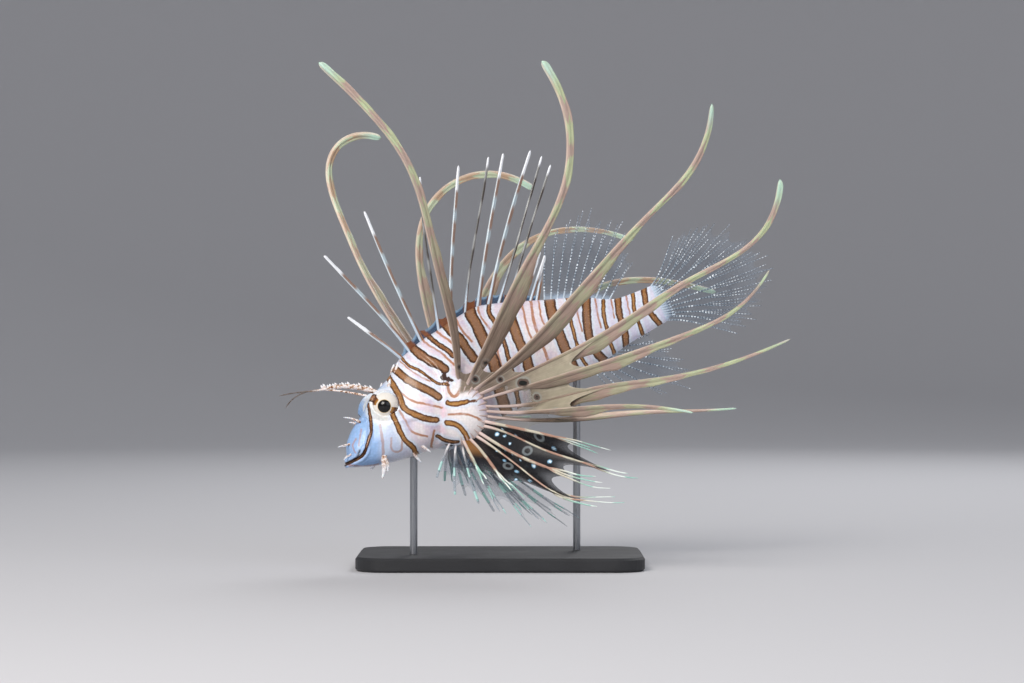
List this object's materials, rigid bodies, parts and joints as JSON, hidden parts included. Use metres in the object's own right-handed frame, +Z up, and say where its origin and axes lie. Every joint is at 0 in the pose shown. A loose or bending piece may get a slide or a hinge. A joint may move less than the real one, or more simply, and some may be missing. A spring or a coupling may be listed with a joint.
{
  "type": "red lionfish model",
  "caption": "Still life-size model of a young red lionfish, head down with its fins spread, held over a flat base by two short rods.",
  "frame": {"origin": "centre of the stand base's underside, on the floor", "axes": "+Z up, the fish's head towards -X and its left side towards -Y"},
  "size_m": [0.2115, 0.1968, 0.2097],
  "materials": {
    "skin": "painted cast resin, satin, white with red-brown bars",
    "pectoral_fin": "thin cast resin, tan blades with pale green tips",
    "clear_fin": "thin clear resin with dotted rays",
    "spine": "painted cast resin, banded white and brown",
    "eye": "polished glass eye",
    "stand_plate": "satin black powder coat",
    "stand_steel": "brushed steel rod"
  },
  "bodies": {
    "root": {"head": "skin", "trunk": "skin", "tail": "skin", "eye_left": "eye", "eye_right": "eye", "dorsal_spines": "spine", "dorsal_soft_fin": "clear_fin", "tail_fin": "clear_fin", "anal_fin": "clear_fin", "pectoral_left_upper": "pectoral_fin", "pectoral_left_lower": "pectoral_fin", "pectoral_right_upper": "pectoral_fin", "pectoral_right_lower": "pectoral_fin", "pelvic_fin_left": "clear_fin", "pelvic_fin_right": "clear_fin", "brow_tentacle_left": "skin", "brow_tentacle_right": "skin", "stand_base": "stand_plate", "stand_rod_front": "stand_steel", "stand_rod_rear": "stand_steel"}
  },
  "joints": []
}
